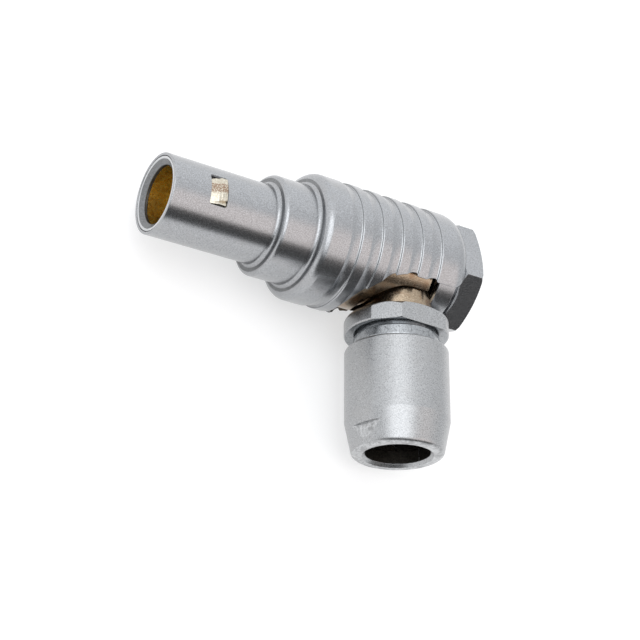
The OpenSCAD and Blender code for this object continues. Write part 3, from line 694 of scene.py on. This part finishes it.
def buildNut(s):
    top, end = -nutHigh.y, -nutLow.y
    r, e = s["nutRadius"], s["endRound"]
    outline = [(top, s["nutBore"])]
    outline += arcPoints((top + s["topEdge"], r - s["topEdge"]), s["topEdge"], 180, 90, 20)
    outline += [(s["taperStart"], r)]
    outline += arcPoints((end - e, s["taperRadius"] - e), e, 80, 0, 18)
    outline += [(end, s["outletRadius"] + s["outletChamfer"]),
                (end - s["outletChamfer"], s["outletRadius"]),
                (end - s["outletChamfer"] - s["outletLand"], s["outletRadius"]),
                (end - s["outletChamfer"] - s["outletLand"], s["colletTip"]),
                (s["taperStart"] - 0.1, s["nutBore"])]
    piece = asObject("colletNut", spinRing(outline, "elbow"))
    cutters = []
    for side in (0, math.pi):
        mesh = bmesh.new()
        bmesh.ops.create_cube(mesh, size=1)
        bmesh.ops.scale(mesh, vec=(14, s["flatsLength"] + 1, 4), verts=mesh.verts)
        bmesh.ops.translate(mesh, vec=(0, -end + s["flatsLength"] - (s["flatsLength"] + 1) / 2,
                                       s["flatsAcross"] / 2 + 2), verts=mesh.verts)
        bmesh.ops.rotate(mesh, cent=(0, 0, 0), verts=mesh.verts,
                         matrix=Matrix.Rotation(side - math.radians(s["flatsTurn"]), 3, "Y"))
        bmesh.ops.translate(mesh, vec=(elbowX, 0, 0), verts=mesh.verts)
        cutters.append(asObject("cutter", mesh))
    combine(piece, cutters)
    finishPiece(piece, "core", blastedChrome, ("collet_nut",), 7)
    flat = Matrix.Rotation(-math.radians(s["flatsTurn"]), 3, "Y") @ Vector((0, 0, 1))
    piece.data.materials.append(wornChrome)
    piece.data.materials.append(warmDark)
    for face in piece.data.polygons:
        below = -face.center.y * mm
        away = math.hypot(face.center.x * mm - elbowX, face.center.z * mm)
        onFlat = abs(face.normal.dot(flat)) > 0.9995 and below > end - s["flatsLength"] - 0.1
        if onFlat or (below > end - 0.2 and away > s["outletRadius"] + s["outletChamfer"] - 0.1):
            face.material_index = 1
        # the faces inside the outlet bore get the dark material: painted shade
        elif away < s["outletRadius"] + 0.6 and below < end - s["outletChamfer"] - 0.05:
            face.material_index = 2
    return piece


buildOutlet(outletSizes)
buildNut(outletSizes)

# Nodes that keep their own shape
kept = {
    "front_insulator": insulatorWhite, "mid_insulator": insulatorWhite, "rear_insulator": insulatorWhite,
    "neck_insulator": insulatorWhite, "centre_contact": goldPlate, "elbow_terminal": goldPlate,
    "insert_ring": warmNickel, "access_plug": warmNickel, "ground_cone": warmNickel,
    "braid_ring": warmDark, "collet": warmDark,
}
for node, material in kept.items():
    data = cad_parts[node].data
    if not data.materials:
        data.materials.append(material)
    for i in range(len(data.materials)):
        data.materials[i] = material
print("kept nodes dressed")

# Floor and light
studio = {
    "floorHeight": -0.00727, "floorColour": 0.5, "floorLift": 0.56,
    "flagDark": 0.1, "baseStrength": 0.95, "boxStrength": 1.25, "warmStrength": 0.35, "skyStrength": 0.32,
}


def buildFloor(s):
    mesh = bmesh.new()
    bmesh.ops.create_grid(mesh, x_segments=1, y_segments=1, size=1.5)
    data = bpy.data.meshes.new("studioFloor")
    mesh.to_mesh(data)
    mesh.free()
    floor = bpy.data.objects.new("studioFloor", data)
    bpy.context.scene.collection.objects.link(floor)
    floor.location = (0, 0, s["floorHeight"])
    material, nodes, links, shader = newMaterial("studioFloor")
    nodes.remove(shader)
    matt = nodes.new("ShaderNodeBsdfDiffuse")
    matt.inputs["Color"].default_value = (s["floorColour"],) * 3 + (1,)
    glow = nodes.new("ShaderNodeEmission")
    seen = nodes.new("ShaderNodeLightPath")
    either = nodes.new("ShaderNodeMath")
    either.operation = "MAXIMUM"
    third = nodes.new("ShaderNodeMath")
    third.operation = "MAXIMUM"
    lift = nodes.new("ShaderNodeMath")
    lift.operation = "MULTIPLY"
    lift.inputs[1].default_value = s["floorLift"]
    both = nodes.new("ShaderNodeAddShader")
    links.new(seen.outputs["Is Camera Ray"], either.inputs[0])
    links.new(seen.outputs["Is Glossy Ray"], either.inputs[1])
    links.new(either.outputs[0], third.inputs[0])
    links.new(seen.outputs["Is Transmission Ray"], third.inputs[1])
    links.new(third.outputs[0], lift.inputs[0])
    links.new(lift.outputs[0], glow.inputs["Strength"])
    links.new(matt.outputs[0], both.inputs[0])
    links.new(glow.outputs[0], both.inputs[1])
    links.new(both.outputs[0], nodes["Material Output"].inputs["Surface"])
    data.materials.append(material)


def towards(nodes, links, way, direction):
    dot = nodes.new("ShaderNodeVectorMath")
    dot.operation = "DOT_PRODUCT"
    dot.inputs[1].default_value = Vector(direction)
    links.new(way, dot.inputs[0])
    return dot.outputs["Value"]


def buildWorld(s):
    world = bpy.data.worlds.new("studioLight")
    bpy.context.scene.world = world
    world.use_nodes = True
    nodes, links = world.node_tree.nodes, world.node_tree.links
    nodes.clear()
    way = nodes.new("ShaderNodeTexCoord").outputs["Generated"]
    # a long dark card low over the cable side, seen between two angles from straight up
    first, last = math.radians(49), math.radians(86)
    above = towards(nodes, links, way, (0, -math.cos(first), -math.sin(first)))
    below = towards(nodes, links, way, (0, math.cos(last), math.sin(last)))
    along = towards(nodes, links, way, (1, 0, 0))
    card = mathNode(nodes, links, "MULTIPLY", softStep(nodes, links, above, -0.09, 0.07),
                    softStep(nodes, links, below, -0.09, 0.07))
    card = mathNode(nodes, links, "MULTIPLY", card, softStep(nodes, links, along, 0.92, 0.75))
    card = mathNode(nodes, links, "MULTIPLY", card, softStep(nodes, links, along, -0.92, -0.7))
    # a large soft light above the camera's side
    centre = Vector((-0.47, -0.08, 0.87)).normalized()
    lamp = softStep(nodes, links, towards(nodes, links, way, centre), 0.8, 0.97)
    warmCentre = Vector((0.48, -0.42, 0.77)).normalized()
    warm = softStep(nodes, links, towards(nodes, links, way, warmCentre), 0.8, 0.97)
    skyCentre = Vector((-0.35, 0.9, 0.35)).normalized()
    sky = softStep(nodes, links, towards(nodes, links, way, skyCentre), 0.1, 0.8)
    level = s["baseStrength"]
    for light, strength in ((lamp, "boxStrength"), (warm, "warmStrength"), (sky, "skyStrength")):
        part = mathNode(nodes, links, "MULTIPLY", light, s[strength])
        level = mathNode(nodes, links, "ADD", part, level)
    covered = mathNode(nodes, links, "MULTIPLY", card, 1 - s["flagDark"])
    shade = mathNode(nodes, links, "SUBTRACT", 1.0, covered)
    level = mathNode(nodes, links, "MULTIPLY", level, shade)
    lit = nodes.new("ShaderNodeBackground")
    links.new(level, lit.inputs["Strength"])
    tone = nodes.new("ShaderNodeMix")
    tone.data_type = "RGBA"
    tone.inputs["A"].default_value = (0.985, 1, 1.02, 1)
    tone.inputs["B"].default_value = (1.06, 0.985, 0.96, 1)
    links.new(warm, tone.inputs["Factor"])
    links.new(tone.outputs["Result"], lit.inputs["Color"])
    plain = nodes.new("ShaderNodeBackground")
    plain.inputs["Strength"].default_value = 1
    seen = nodes.new("ShaderNodeLightPath")
    pick = nodes.new("ShaderNodeMixShader")
    links.new(seen.outputs["Is Camera Ray"], pick.inputs["Fac"])
    links.new(lit.outputs[0], pick.inputs[1])
    links.new(plain.outputs[0], pick.inputs[2])
    end = nodes.new("ShaderNodeOutputWorld")
    links.new(pick.outputs[0], end.inputs["Surface"])


buildFloor(studio)
buildWorld(studio)
print("studio made")
